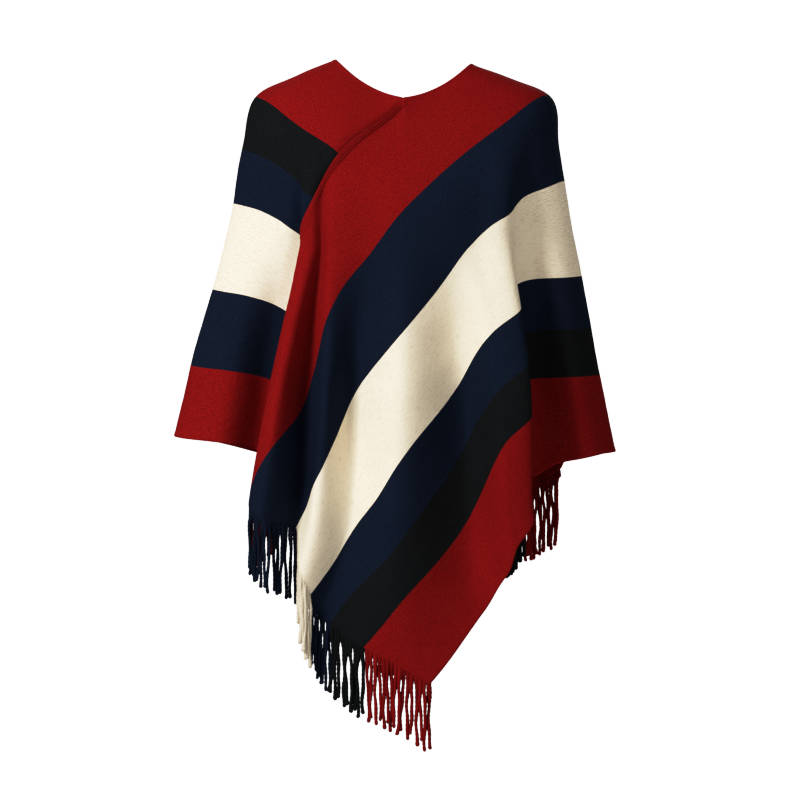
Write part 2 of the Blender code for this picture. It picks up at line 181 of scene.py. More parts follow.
# Fold lines, as in the part: turn, then millimetres across and forward, at the four runs
Rail = namedtuple("Rail", "name sleeve chest waist hip point")
RAIL_RUNS = (420 * MM, 620 * MM, 820 * MM, 950 * MM)
FOLDS_START = 270 * MM
RAILS = (
    Rail("arm", True, (-1.00, 0, 0), (-1.00, 0, 0), (-1.00, 0, 0), (-1.00, 0, 0)),
    Rail("arm_front", True, (-0.91, 12, 36), (-0.92, 14, 36), (-0.92, 15, 36), (-0.92, 16, 36)),
    Rail("sleeve_ridge", True, (-0.80, 42, 60), (-0.85, 56, 60), (-0.86, 68, 64), (-0.86, 70, 64)),
    Rail("sleeve_valley", True, (-0.68, 77, 84), (-0.78, 100, 42), (-0.80, 120, 38), (-0.80, 126, 38)),
    Rail("seam_valley", False, (-0.585, -138, 88), (-0.70, -166, 60), (-0.71, -182, 60), (-0.71, -190, 60)),
    Rail("seam_fold", False, (-0.54, -143, 104), (-0.61, -183, 104), (-0.58, -218, 106), (-0.57, -235, 106)),
    Rail("roll", False, (-0.48, -128, 114), (-0.56, -171, 122), (-0.53, -202, 128), (-0.52, -220, 126)),
    Rail("roll_valley", False, (-0.42, -116, 106), (-0.49, -140, 84), (-0.43, -144, 82), (-0.42, -180, 90)),
    Rail("side_ridge", False, (-0.34, -104, 122), (-0.36, -110, 136), (-0.33, -130, 138), (-0.30, -154, 134)),
    Rail("side_valley", False, (-0.20, -52, 128), (-0.21, -74, 98), (-0.19, -78, 108), (-0.20, -116, 114)),
    Rail("middle_ridge", False, (-0.02, -2, 140), (-0.02, -3, 150), (-0.04, -15, 150), (-0.05, -23, 146)),
    Rail("breast_valley", False, (0.20, 56, 134), (0.19, 77, 94), (0.22, 96, 102), (0.17, 102, 118)),
    Rail("breast_ridge", False, (0.42, 99, 122), (0.43, 133, 144), (0.42, 152, 142), (0.36, 178, 134)),
    Rail("front_fold", False, (0.60, 146, 113), (0.60, 174, 130), (0.54, 180, 128), (0.50, 204, 124)),
    Rail("hidden_fold", False, (0.68, 156, 88), (0.70, 142, 80), (0.66, 100, 80), (0.62, 120, 84)),
    Rail("arm_valley", True, (0.77, 56, 66), (0.79, 88, 46), (0.79, 110, 44), (0.79, 115, 44)),
    Rail("arm_ridge", True, (0.88, 20, 46), (0.88, 36, 60), (0.88, 40, 60), (0.88, 44, 60)),
    Rail("arm_side", True, (0.95, 6, 28), (0.95, 10, 30), (0.95, 12, 30), (0.95, 12, 30)),
)
# The fold lines that hang differently at the back
BACK_RAILS = (
    Rail("sleeve_valley", True, (-0.68, 77, 84), (-0.80, 70, 42), (-0.84, 72, 40), (-0.84, 80, 40)),
    Rail("seam_valley", False, (-0.585, -138, 88), (-0.72, -190, 62), (-0.76, -220, 70), (-0.76, -224, 70)),
    Rail("seam_fold", False, (-0.54, -143, 104), (-0.61, -183, 104), (-0.67, -188, 106), (-0.66, -194, 106)),
    Rail("roll", False, (-0.48, -128, 114), (-0.56, -171, 118), (-0.57, -162, 88), (-0.56, -166, 92)),
    Rail("roll_valley", False, (-0.42, -116, 106), (-0.49, -140, 84), (-0.44, -146, 118), (-0.43, -152, 118)),
    Rail("side_ridge", False, (-0.34, -104, 122), (-0.36, -110, 136), (-0.33, -115, 136), (-0.30, -129, 130)),
    Rail("side_valley", False, (-0.20, -52, 128), (-0.21, -74, 98), (-0.19, -74, 108), (-0.20, -102, 114)),
)
BACK_DEPTH = 0.82
BACK_HANG = 0.88
RING_STEP = 10 * MM
RING_STEPS = 118

# Where the hanging cloth is hitched up or let down on each side, from a run on, in millimetres
Hitch = namedtuple("Hitch", "front turn spread rise start ease")
HITCHES = (
    Hitch(True, -0.430, 0.085, 25, 700, 140),
    Hitch(True, -0.210, 0.070, -9, 700, 140),
    Hitch(True, -0.480, 0.080, -14, 520, 60),
    Hitch(True, -0.460, 0.100, 14, 720, 80),
    Hitch(True, -0.175, 0.055, 20, 690, 100),
    Hitch(True, -0.170, 0.070, -20, 880, 80),
    Hitch(True, 0.300, 0.180, 18, 360, 200),
    Hitch(True, 0.250, 0.170, -18, 680, 80),
    Hitch(True, 0.120, 0.100, 8, 880, 80),
    Hitch(True, 0.520, 0.090, 8, 350, 60),
    Hitch(True, 0.500, 0.100, -8, 720, 80),
    Hitch(True, 0.360, 0.060, -12, 820, 50),
    Hitch(True, 0.800, 0.120, -7, 340, 50),
    Hitch(True, 0.760, 0.120, 16, 400, 120),
    Hitch(True, 0.775, 0.030, -16, 710, 50),
    Hitch(True, 0.800, 0.100, -22, 700, 140),
    Hitch(False, -0.720, 0.140, -34, 700, 140),
    Hitch(False, -0.500, 0.080, -9, 700, 140),
    Hitch(False, 0.720, 0.100, -14, 640, 100),
)

# The strip of cloth at a panel's fringed end
STRIP_TUCK = 0.4 * MM
STRIP_DEPTH = 7 * MM
STRIP_LINES = (-STRIP_TUCK, 2 * MM, 4 * MM, STRIP_DEPTH - 1 * MM, STRIP_DEPTH)
STRIP_THINNER = 0.97

# Strands: what is added to a stripe's first and last one, and how far its strands hang aside, are
# in millimetres
STRAND_LENGTH = 96 * MM
STRAND_UNEVEN = 9 * MM
STRAND_RADIUS = 2.6 * MM
STRAND_THINNEST = 0.8 * MM
STRAND_NARROWEST = 1.2 * MM
STRAND_PLY = 0.08
STRAND_PITCH = 13 * MM
STRAND_RING = 2.2 * MM
STRAND_SIDES = 8
STRAND_LONGER = {"front_strands_2_navy": (-12, 20), "back_strands_4_cream": (-24, -24)}
STRAND_ASIDE = {"front_strands_1_red": -9}
ASIDE_RUN = 12 * MM
ROOT_DEPTH = 2.5 * MM
ROOT_NUDGE = 4 * MM
STRAND_END = 6 * MM
SWELL = 0.10
SWELL_WAVE = 7 * MM
END_SWELL = 0.14
THIN_DEPTH = 6 * MM
MAP_STEP = 0.13

# Where strands are still joined to each other below the cloth, and how much they sway
MERGED_FRONT = 11 * MM
MERGED_BACK = -2 * MM
MERGED_UNEVEN = 9 * MM
MERGED_RUN = 13 * MM
MERGED_OVERLAP = 0.62
SWAY_FRONT = 1.0
SWAY_BACK = 1.5

# Strands hang in bunches: how many in each, how far they close up, where, and how far they part again
GROUPS = (2, 3, 2, 4, 3, 2, 3, 3, 2)
Vary = namedtuple("Vary", "mean swing pace")
TIGHT = Vary(0.22, 0.20, 1.9)
MEET = Vary(0.62, 0.22, 2.7)
LOOSE = Vary(0.30, 0.30, 4.1)
GOLDEN_ANGLE = 2.399
SEED_STEP = 7
BACK_SEED = 3

# A strand's waves, with their height, number and phase, and its steps in front of the next one
Sway = namedtuple("Sway", "high number phase")
SWAYS = (Sway(1.0, 1.1, 1), Sway(0.45, 2.7, 2))
SETTLED_BY = 0.25
LAYER_STEP = 1.5
LAYER_WAVE = Sway(0.9, 1.1, 1.7)

# Camera and stage
PIXEL = 1.4 * MM
PHOTO_SIDE = 800
MIDDLE_COLUMN = 404
ORIGIN_ROW = 97
CAMERA_FAR = 40.0
CAMERA_STEP_BACK = 0.1
CAMERA_END = 60
SENSOR = 36.0
FLOOR_LEVEL = -1.35
FLOOR_SIZE = 6
FLOOR_TONES = ((0.64, 0.64, 0.64), (0.68, 0.68, 0.68))
WHITE = (1, 1, 1, 1)
SOFT_LIGHT = 0.22
SEEN_WHITE = 1.0
Light = namedtuple("Light", "name place target size power")
LIGHTS = (
    Light("key", (-2.5, -2.55, 1.8), (0, 0, -0.4), 1.1, 140),
    Light("fill", (2.2, -3.2, 0.4), (0, 0, -0.3), 1.6, 22),
    Light("back", (0.4, 3.0, 1.4), (0, 0, -0.3), 1.6, 40),
)
TONE_CURVE = (
    (0.02, 0.012),
    (0.06, 0.043),
    (0.12, 0.105),
    (0.20, 0.205),
    (0.36, 0.47),
    (0.50, 0.68),
    (0.72, 0.87),
)


# ---------------------------------------------------------------- hanging form

def smoothstep(amount):
    """Ease 0 to 1 amounts in and out."""
    held = np.clip(amount, 0.0, 1.0)
    return held * held * (3.0 - 2.0 * held)


def curve_through(places, values, at):
    """Read smooth curves through rows of values at rising places; straight past their ends."""
    at = np.atleast_1d(np.asarray(at, float))
    places = np.broadcast_to(places, (at.size, np.shape(places)[-1]))
    values = np.broadcast_to(values, places.shape)
    span = np.diff(places)
    secant = np.diff(values) / span
    inner = secant[:, :-1] * span[:, 1:] + secant[:, 1:] * span[:, :-1]
    inner = inner / (span[:, :-1] + span[:, 1:])
    slope = np.hstack((secant[:, :1], inner, secant[:, -1:]))
    row = np.arange(at.size)
    k = np.clip((places <= at[:, None]).sum(axis=1) - 1, 0, places.shape[1] - 2)
    length = span[row, k]
    t = (at - places[row, k]) / length
    rise = values[row, k + 1] - values[row, k]
    start = slope[row, k] * length
    end = slope[row, k + 1] * length
    bend = t * t * (3 * rise - 2 * start - end) + t ** 3 * (start + end - 2 * rise)
    curve = values[row, k] + t * start + bend
    below = values[:, 0] + slope[:, 0] * (at - places[:, 0])
    above = values[:, -1] + slope[:, -1] * (at - places[:, -1])
    return np.where(at <= places[:, 0], below, np.where(at >= places[:, -1], above, curve))


def section(column, run):
    """Size of the hanging ring in one column of SECTIONS, in metres."""
    runs = np.array([row.run for row in SECTIONS]) * MM
    sizes = np.array([getattr(row, column) for row in SECTIONS]) * MM
    return curve_through(runs, sizes, run)


def reach_of(left, run):
    """How far the arm lines reach from the middle, on the left or the right."""
    return np.where(left, section("reach_left", run), section("reach_right", run))


def fold_share(run):
    """How far the folds have grown at runs, from none at the yoke."""
    return smoothstep((run - FOLDS_START) / (RAIL_RUNS[0] - FOLDS_START))


def rail_place(rail, run, front):
    """Turn, across and forward of one fold line at many runs, before it is faced."""
    levels = (rail.chest, rail.waist, rail.hip, rail.point)
    fold_run = np.maximum(run, RAIL_RUNS[0])
    turn = curve_through(RAIL_RUNS, [level[0] for level in levels], fold_run)
    across = curve_through(RAIL_RUNS, [level[1] * MM for level in levels], fold_run)
    forward = curve_through(RAIL_RUNS, [level[2] * MM for level in levels], fold_run)
    reach = reach_of((turn < 0) != front, run)
    if rail.sleeve:
        across = np.sign(turn) * (reach - across)
    else:
        across = across + section("swing", run)
    yoke_across = reach * np.sin(np.radians(YOKE_SPREAD * turn)) / math.sin(math.radians(YOKE_SPREAD))
    round_off = np.sqrt(np.maximum(0.0, 1 - np.abs(turn) ** SHOULDER_POWER))
    yoke_forward = section("forward", run) * round_off
    fold = fold_share(run)
    across = yoke_across + (across - yoke_across) * fold
    forward = yoke_forward + (forward - yoke_forward) * fold
    return turn, across, forward


def rails_of(front):
    """The fold lines of the front or the back, in order."""
    changed = {} if front else {rail.name: rail for rail in BACK_RAILS}
    return [changed.get(rail.name, rail) for rail in RAILS]


def ring_tables():
    """Closed rings of fold lines at every ring step from the crown: turns, xs and ys."""
    run = np.arange(RING_STEPS) * RING_STEP
    turns, xs, ys = [], [], []
    for front in (True, False):
        facing = 1 if front else -1
        depth = 1 if front else BACK_DEPTH
        for rail in rails_of(front):
            turn, across, forward = rail_place(rail, run, front)
            turns.append(turn + (0 if front else 2))
            xs.append(across * facing)
            ys.append(-forward * facing * depth)
    tables = []
    for columns, step in ((turns, 4), (xs, 0), (ys, 0)):
        table = np.stack(columns, axis=1)
        tables.append(np.hstack((table[:, -2:] - step, table, table[:, :3] + step)))
    return tables


def hung_height(run, turn, left, hang):
    """Height between the middle line and the arm line."""
    turns = [row.turn for row in ARM_SHARES]
    read = {name: curve_through(turns, [getattr(row, name) for row in ARM_SHARES], np.abs(turn))
            for name in ArmShare._fields[1:]}
    yoke = np.where(left, read["yoke_left"], read["yoke_right"])
    sleeve = np.where(left, read["sleeve_left"], read["sleeve_right"])
    share = yoke + (sleeve - yoke) * fold_share(run)
    arm = np.where(left, section("arm_left", run), section("arm_right", run))
    return section("middle", run) * hang * (1 - share) + arm * share


def hitched(run, turn, front):
    """How far the cloth is hitched up at turns of the front or back."""
    rise = 0.0
    for row in HITCHES:
        lifted = row.rise * MM * np.exp(-((turn - row.turn) / row.spread) ** 2)
        rise = rise + lifted * (front == row.front) * smoothstep((run / MM - row.start) / row.ease)
    return rise


def height(run, turn):
    """Height of the cloth at runs and turns."""
    front = turn <= 1
    local = np.where(front, turn, turn - 2)
    left = (local < 0) != front
    hang = np.where(front, 1.0, BACK_HANG)
    start = CROWN / np.sin(np.radians(45 + 45 * np.abs(local)))
    top = np.where(left, section("arm_left", CROWN), section("arm_right", CROWN))
    lift = top * np.abs(local) ** NECK_SAG - hung_height(start, local, left, hang)
    hung = hung_height(run, local, left, hang) + lift * np.exp(-(run - start) / NECK_EASE)
    return hung + hitched(run, local, front)


def cloth_points(run, turn, rings):
    """The middle of the cloth's thickness at runs and turns."""
    turn = (turn + 1) % 4 - 1
    step = np.floor(run / RING_STEP).astype(int)
    share = (run / RING_STEP - step)[:, None]
    turns, xs, ys = (table[step] * (1 - share) + table[step + 1] * share for table in rings)
    x = curve_through(turns, xs, turn)
    y = curve_through(turns, ys, turn)
    return np.stack((x, y, height(run, turn)), axis=1)


def cloth_frames(u, v, turned, rings):
    """Points of the cloth and its outward normals at places on a panel."""
    run = np.hypot(u - CROWN, v + CROWN)
    turn = np.degrees(np.arctan2(v + CROWN, u - CROWN)) / 45 - 1 + (2 if turned else 0)
    angle = NORMAL_NUDGE / run
    along = cloth_points(run + NORMAL_NUDGE, turn, rings) - cloth_points(run - NORMAL_NUDGE, turn, rings)
    around = cloth_points(run, turn + angle, rings) - cloth_points(run, turn - angle, rings)
    normal = np.cross(along, around)
    normal /= np.linalg.norm(normal, axis=1)[:, None]
    return cloth_points(run, turn, rings), normal


# ------------------------------------------------------------- cloth in detail

def edge_shape(distance):
    """Share of the cloth's thickness left at a distance in from a rounded edge."""
    inward = np.clip(distance / EDGE_ROUND, THINNEST_EDGE, 1)
    return np.sqrt(1 - (1 - inward) ** 2)


def unevenness(u, v, turned):
    """The hand-knitted cloth's slight waviness, outward."""
    shift = BACK_WAVE_SHIFT if turned else 0.0
    total = 0.0
    for wave in WAVES:
        first = np.sin(u / (wave.along * MM) + v / (wave.across * MM) + shift)
        second = np.sin(v / (wave.other_across * MM) + u / (wave.other_along * MM) + wave.phase)
        total = total + wave.high * MM * first * second
    return total


def profile(distance, row, wander=0.0):
    """Strength of one row at distances in from the edge that it follows."""
    beyond = distance + wander * row.wander - row.inward * MM
    return row.strength * np.exp(-(beyond / (row.spread * MM)) ** 2)


def seam_wander(u):
    """How far the seam's rows stray from a straight line."""
    return SEAM_WANDER * np.sin(u / SEAM_WAVE)


def seam_strength(u, turned):
    """How strongly the seam's cords stand out along a panel's neck side."""
    past = u - NECK_RUN
    fade = 1 - SEAM_FADE * smoothstep((past - SEAM_FADE_START) / SEAM_FADE_RUN)
    phase = SEAM_LIVELY_BACK if turned else SEAM_LIVELY_FRONT
    lively = 1 + SEAM_LIVELY * np.sin(past / SEAM_LIVELY_WAVE + phase)
    return smoothstep((past - SEAM_RISE_START) / SEAM_RISE_RUN) * fade * lively


def seam_ridge(u, v, turned):
    """The lapped seam: the upper panel's edge rolls up, and its first rows stand as cords."""
    cords = sum(profile(v, row, seam_wander(u)) for row in SEAM_CORDS)
    on_seam = smoothstep((u - NECK_RUN + LAP) / SEAM_JOIN_RUN)
    neck_bead = profile(v, NECK_BEAD) * (1 - on_seam)
    lift = SEAM_LIFT * np.exp(-v / SEAM_LIFT_DEPTH) * on_seam
    return MM * (seam_strength(u, turned) * (cords + profile(v, SEAM_ROLL)) + neck_bead + lift)


def seam_shadow(u, v, turned):
    """Painted shade in the grooves beside the seam's cords, and painted shadow under its edge, 0 to 1."""
    grooves = sum(profile(v, row, seam_wander(u)) for row in SEAM_GROOVE_SHADE)
    under = profile(u, LAP_SHADOW) * seam_strength(v + NECK_RUN, not turned)
    return np.clip(seam_strength(u, turned) * grooves + under, 0, 1)


def lapped_end(u):
    """How far the plain end of a panel tucks in under the other panel's edge."""
    return -TUCK * (1 - smoothstep((u - TUCK_START) / TUCK_RUN))


def surface_lift(u, v, turned):
    """How far the dressed cloth stands out from the plain form."""
    waves = unevenness(u, v, turned) * smoothstep(v / WAVES_START)
    hem_bead = MM * profile(PANEL_WIDTH - v, HEM_BEAD)
    return waves + seam_ridge(u, v, turned) + lapped_end(u) + hem_bead


def cloth_patch(along, across, turned, rings):
    """Flat places of a grid on a panel, with the dressed cloth's points and normals there."""
    u, v = (grid.ravel() for grid in np.meshgrid(along, across, indexing="ij"))
    points, normals = cloth_frames(u, v, turned, rings)
    return u, v, points + normals * surface_lift(u, v, turned)[:, None], normals


def stripe_lines(stripes):
    """Mesh lines across a panel, with its stripes' edges and its own edges on them."""
    edges = np.cumsum([0.0] + [stripe.width for stripe in stripes])
    lines = list(np.linspace(0, SEAM_DEPTH, round(SEAM_DEPTH / SEAM_LINE_STEP) + 1))
    for start, end in zip(edges[:-1], edges[1:]):
        first = SEAM_DEPTH if start == 0 else start
        steps = max(2, round((end - first) / GRID))
        lines += [first + (end - first) * step / steps for step in range(1, steps + 1)]
    total = edges[-1]
    lines = [line for line in lines if line < total - 2 * EDGE_LINES[-1]]
    return np.array(lines + [total - line for line in reversed(EDGE_LINES)])


def yarn_of_steps(lines, stripes):
    """Index of the stripe that each step between mesh lines belongs to."""
    edges = np.cumsum([stripe.width for stripe in stripes])
    return np.searchsorted(edges, (lines[:-1] + lines[1:]) / 2)


def make_mesh(name, points, quads, materials, material_index, uvs):
    """A smooth mesh object from arrays, with a cloth map in metres."""
    mesh = bpy.data.meshes.new(name)
    mesh.from_pydata(points.tolist(), [], quads.tolist())
    for material in materials:
        mesh.materials.append(material)
    mesh.polygons.foreach_set("material_index", material_index.astype(np.int32))
    mesh.polygons.foreach_set("use_smooth", np.ones(len(quads), bool))
    layer = mesh.uv_layers.new(name="cloth")
    layer.data.foreach_set("uv", uvs[quads.ravel()].astype(np.float32).ravel())
    mesh.update()
    return add_item(name, mesh)


def set_shade(item, values):
    """Give each point of a piece a value, 0 to 1: painted shade and shadow at the seam on the panels, each
    strand's own tone in the fringe.
    """
    attribute = item.data.attributes.new("shade", "FLOAT", "POINT")
    attribute.data.foreach_set("value", values.astype(np.float32))


def grid_quads(rows, columns):
    """Corner indices of a grid's faces."""
    i, j = np.meshgrid(np.arange(rows - 1), np.arange(columns - 1), indexing="ij")
    a = (i * columns + j).ravel()
    return np.stack((a, a + columns, a + columns + 1, a + 1), axis=1)


def ring_of_grid(rows, columns):
    """Indices round a grid's outer edge, in order."""
    top = list(range(columns))
    right = [i * columns + columns - 1 for i in range(1, rows)]
    bottom = [(rows - 1) * columns + j for j in range(columns - 2, -1, -1)]
    left = [i * columns for i in range(rows - 2, 0, -1)]
    return np.array(top + right + bottom + left)


def shell(points, normals, half, rows, columns):
    """Both faces of a cloth grid and the rim between them."""
    outer = points + normals * half[:, None]
    inner = points - normals * half[:, None]
    count = rows * columns
    quads = grid_quads(rows, columns)
    rim = ring_of_grid(rows, columns)
    following = np.roll(rim, -1)
    edge = np.stack((rim, following, following + count, rim + count), axis=1)
    return np.vstack((outer, inner)), np.vstack((quads, quads[:, ::-1] + count, edge)), edge


def build_panel(name, stripes, other_stripes, turned, rings, materials):
    """One striped rectangle of knitted cloth with its seams and edges."""
    across = stripe_lines(stripes)
    lapped = -LAP + np.array(EDGE_LINES[:3])
    neck = np.linspace(0, NECK_RUN, round(NECK_RUN / GRID), endpoint=False)
    along = np.hstack((lapped, neck, NECK_RUN + stripe_lines(other_stripes)))
    u, v, points, normals = cloth_patch(along, across, turned, rings)
    free = np.minimum(np.minimum(v, PANEL_WIDTH - v), u + LAP)
    half = CLOTH / 2 * edge_shape(free)
    rows, columns = len(along), len(across)
    vertices, quads, edge = shell(points, normals, half, rows, columns)
    used = list(dict.fromkeys(stripe.yarn for stripe in stripes))
    stripe_slot = np.array([used.index(stripe.yarn) for stripe in stripes])
    step_slot = stripe_slot[yarn_of_steps(across, stripes)]
    face_slot = np.tile(step_slot, rows - 1)
    rim_column = np.minimum(edge[:, 0] % columns, edge[:, 1] % columns)
    rim_slot = step_slot[np.minimum(rim_column, columns - 2)]
    slots = np.hstack((face_slot, face_slot, rim_slot))
    uvs = np.tile(np.stack((u, v), axis=1), (2, 1))
    item = make_mesh(name, vertices, quads, [materials[yarn] for yarn in used], slots, uvs)
    # The shade attribute holds painted shade in the seam's grooves and painted shadow under its edge
    set_shade(item, np.tile(seam_shadow(u, v, turned), 2))
    return item


# --------------------------------------------------------------------- fringe

def strand_group(index, count, seed):
    """Middle of the bunch that a strand hangs in, counted in strands."""
    start, turn = 0, seed
    while True:
        size = GROUPS[turn % len(GROUPS)]
        if index < start + size:
            last = min(start + size, count)
            return (start + last - 1) / 2, turn
        start += size
        turn += 1


def varied(vary, group, offset):
    """One bunch's own value."""
    return vary.mean + vary.swing * math.sin(vary.pace * group + offset)


def swayed(sway, share, phase):
    """One wave at shares of a strand's length."""
    return sway.high * np.sin(math.tau * sway.number * share + sway.phase * phase)


def strand_path(root, edge, face, index, count, pitch, seed, longer, sway_size):
    """Points down one hanging strand, which nears its bunch and mostly leaves it again."""
    middle, group = strand_group(index, count, seed)
    phase = GOLDEN_ANGLE * (index + SEED_STEP * seed)
    uneven = 0.6 * math.sin(1.3 * phase) + 0.5 * math.sin(0.7 * group + seed)
    length = STRAND_LENGTH + STRAND_UNEVEN * uneven + longer
    depth = np.arange(0, length + 3 * MM, STRAND_RING)
    share = depth / length
    meet = varied(MEET, group, 0.5 * seed)
    parting = varied(LOOSE, group, seed) * smoothstep((share - meet) / (1.1 - meet))
    pull = varied(TIGHT, group, seed) * smoothstep(share / meet) * (1 - parting)
    settled = smoothstep(share / SETTLED_BY)
    swaying = sway_size * sum(swayed(sway, share, phase) for sway in SWAYS)
    drift = 2.2 * math.sin(0.9 * group + 2 * seed) + 1.6 * math.sin(2.3 * phase)
    sideways = swaying * settled + drift * share ** 1.5
    layer = (((index % 3) - 1) * LAYER_STEP + swayed(LAYER_WAVE, share, phase)) * settled
    unit = edge / np.linalg.norm(edge)
    path = root + edge * ((middle - index) * pitch * pull)[:, None]
    path = path + (unit * sideways[:, None] + face * layer[:, None]) * MM
    path[:, 2] -= depth
    return path, depth, length


def strand_rings(path, depth, length, edge, face, pitch, phase, merged_depth):
    """Cross-sections down a strand, flat where it leaves the cloth and round below."""
    angles = np.arange(STRAND_SIDES) / STRAND_SIDES * math.tau
    uneven = MERGED_UNEVEN * math.sin(1.7 * phase)
    merged = 1 - smoothstep((depth - merged_depth - uneven) / MERGED_RUN)
    end = smoothstep((depth - length + STRAND_END) / STRAND_END)
    swell = 1 + SWELL * np.sin(depth / SWELL_WAVE + phase) + END_SWELL * end + SWELL * math.sin(3.7 * phase)
    radius = STRAND_RADIUS * swell
    wide = radius + (MERGED_OVERLAP * pitch * np.linalg.norm(edge) - STRAND_RADIUS) * merged
    thick = radius - (STRAND_RADIUS - STRAND_THINNEST) * np.exp(-depth / THIN_DEPTH)
    turn = math.tau * depth / STRAND_PITCH + phase
    ply = 1 + STRAND_PLY * np.cos(2 * (angles[None, :] - turn[:, None]))
    across = np.maximum(wide, STRAND_NARROWEST)[:, None] * ply * np.cos(angles)
    forward = thick[:, None] * ply * np.sin(angles)
    across[-1] *= 0.5
    forward[-1] *= 0.5
    unit = edge / np.linalg.norm(edge)
    return path[:, None, :] + across[:, :, None] * unit + forward[:, :, None] * face


def tube_quads(rings, sides):
    """Faces of a tube and its two ends."""
    quads = []
    for first in range(0, (rings - 1) * sides, sides):
        below = first + sides
        for side in range(sides):
            following = (side + 1) % sides
            quads.append((first + side, below + side, below + following, first + following))
    last = (rings - 1) * sides
    for step in range(sides // 2 - 1):
        cap = (step, step + 1, sides - 2 - step, sides - 1 - step)
        quads.append(cap)
        quads.append(tuple(last + corner for corner in reversed(cap)))
    return quads


def strip_patch(stripe, start, turned, rings):
    """The narrow strip of cloth that a stripe's strands hang from."""
    columns = max(4, round(stripe.width / GRID))
    across = start + stripe.width * np.linspace(0, 1, columns + 1)
    along = PANEL_LENGTH + np.array(STRIP_LINES)
    u, v, points, normals = cloth_patch(along, across, turned, rings)
    half = CLOTH / 2 * STRIP_THINNER * edge_shape(PANEL_LENGTH + STRIP_DEPTH - u)
    vertices, quads, _ = shell(points, normals, half, len(along), len(across))
    uvs = np.tile(np.stack((u, v), axis=1), (2, 1))
    return vertices, quads, uvs


def strand_roots(stripe, start, turned, rings):
    """Where a stripe's strands leave the cloth, with the ways along its edge and out of it."""
    pitch = stripe.width / stripe.strands
    places = start + pitch * (np.arange(stripe.strands) + 0.5)
    depth = np.full(places.size, PANEL_LENGTH + ROOT_DEPTH)
    roots, normals = cloth_frames(depth, places, turned, rings)
    beside, _ = cloth_frames(depth, places + ROOT_NUDGE, turned, rings)
    edges = (beside - roots) / ROOT_NUDGE * (1, 1, 0)
    faces = normals * (1, 1, 0)
    return roots, edges, faces / np.linalg.norm(faces, axis=1)[:, None]


def build_strand(name, stripe, turned, seed, index, root, edge, face):
    """Rings of one strand, and the depth of each."""
    pitch = stripe.width / stripe.strands
    first_longer, last_longer = STRAND_LONGER.get(name, (0, 0))
    share = index / (stripe.strands - 1)
    longer = (first_longer + (last_longer - first_longer) * share) * MM
    sway_size = SWAY_BACK if turned else SWAY_FRONT
    path, depth, length = strand_path(root, edge, face, index, stripe.strands, pitch, seed, longer, sway_size)
    aside = STRAND_ASIDE.get(name, 0) * MM * smoothstep(depth / ASIDE_RUN)
    path = path + edge * aside[:, None]
    merged_depth = MERGED_BACK if turned else MERGED_FRONT
    return strand_rings(path, depth, length, edge, face, pitch, 1.7 * index + seed, merged_depth), depth


def build_fringe(name, stripe, start, turned, seed, rings, cloth, yarn):
    """One stripe's strip and its twisted strands, as one piece."""
    vertices, quads, uvs = strip_patch(stripe, start, turned, rings)
    slots = [np.zeros(len(quads))]
    parts, faces, maps = [vertices], [quads], [uvs]
    shades = [np.zeros(len(vertices))]
    first = len(vertices)
    for index, place in enumerate(zip(*strand_roots(stripe, start, turned, rings))):
        tube, depth = build_strand(name, stripe, turned, seed, index, *place)
        tube_faces = np.array(tube_quads(len(depth), STRAND_SIDES)) + first
        around = np.tile(np.arange(STRAND_SIDES) / STRAND_SIDES, len(depth))
        parts.append(tube.reshape(-1, 3))
        faces.append(tube_faces)
        slots.append(np.ones(len(tube_faces)))
        down = np.repeat(depth, STRAND_SIDES) + index * MAP_STEP
        maps.append(np.stack((down, around), axis=1))
        shades.append(np.full(around.size, 0.5 + 0.5 * math.sin(5.1 * index + 3.3 * seed)))
        first += around.size
    vertices, quads, uvs = np.vstack(parts), np.vstack(faces), np.vstack(maps)
    item = make_mesh(name, vertices, quads, [cloth, yarn], np.hstack(slots), uvs)
    set_shade(item, np.hstack(shades))
    return item


# ------------------------------------------------------------------ materials

# Yarns: colour, heather share, speck colour, dash colour, dash share, and rows: the share of painted shade in
# the hollows between knitted rows
Yarn = namedtuple("Yarn", "colour heather speck dash dashes rows")
YARNS = {
    "red": Yarn((0.265, 0.0125, 0.0130), 0.42, (0.42, 0.040, 0.036), (0.150, 0.006, 0.006), 0.35, 0.16),
    "navy": Yarn((0.0145, 0.0220, 0.0430), 0.45, (0.032, 0.043, 0.076), (0.009, 0.013, 0.027), 0.60, 0.22),
    "cream": Yarn((0.860, 0.760, 0.600), 0.10, (0.93, 0.87, 0.74), (0.60, 0.48, 0.30), 0.42, 0.26),
    "black": Yarn((0.0150, 0.0160, 0.0170), 0.30, (0.026, 0.028, 0.028), (0.009, 0.010, 0.010), 0.60, 0.20),
}
KNIT_ROUGHNESS = 0.95
YARN_ROUGHNESS = 0.92
FLOOR_ROUGHNESS = 0.9
SPECULAR = 0.02
# How far the painted shade in the seam's grooves and the painted shadow under its edge darken the knit
PAINTED_SHADE_DEPTH = 0.62
ROW_SPACING = 3.0 * MM
STITCH_SPACING = 2.4 * MM
ROW_WOBBLE = 1.2 * MM
KNIT_RELIEF = 0.55 * MM
FUZZ_RELIEF = 0.35
TWIST_SPACING = 2.2 * MM
TWIST_RELIEF = 0.4 * MM
# Shares of the yarn's colour: painted shade between the plies, the plies themselves, and the lightest strand
# tone
TWIST_SHARES = (0.50, 0.90, 1.05)

# Noise: how fine it is, its detail, and its stretch along and across the stripe
Noise = namedtuple("Noise", "scale detail stretch")
DRIFT = Noise(60, 2.0, (1, 1, 1))
FUZZ = Noise(1400, 3.0, (1, 1, 1))
HEATHER = Noise(420, 2.0, (0.8, 1.6, 1))
PATCHES = Noise(9, 2.0, (1, 1, 1))
SPECKS = Noise(640, 1.0, (0.7, 1.5, 1))
DASHES = Noise(1.0, 2.0, (90, 480, 1))
FIBRES = Noise(900, 2.0, (1, 1, 1))
FLOOR_TONE = Noise(1.5, 1.0, (1, 1, 1))


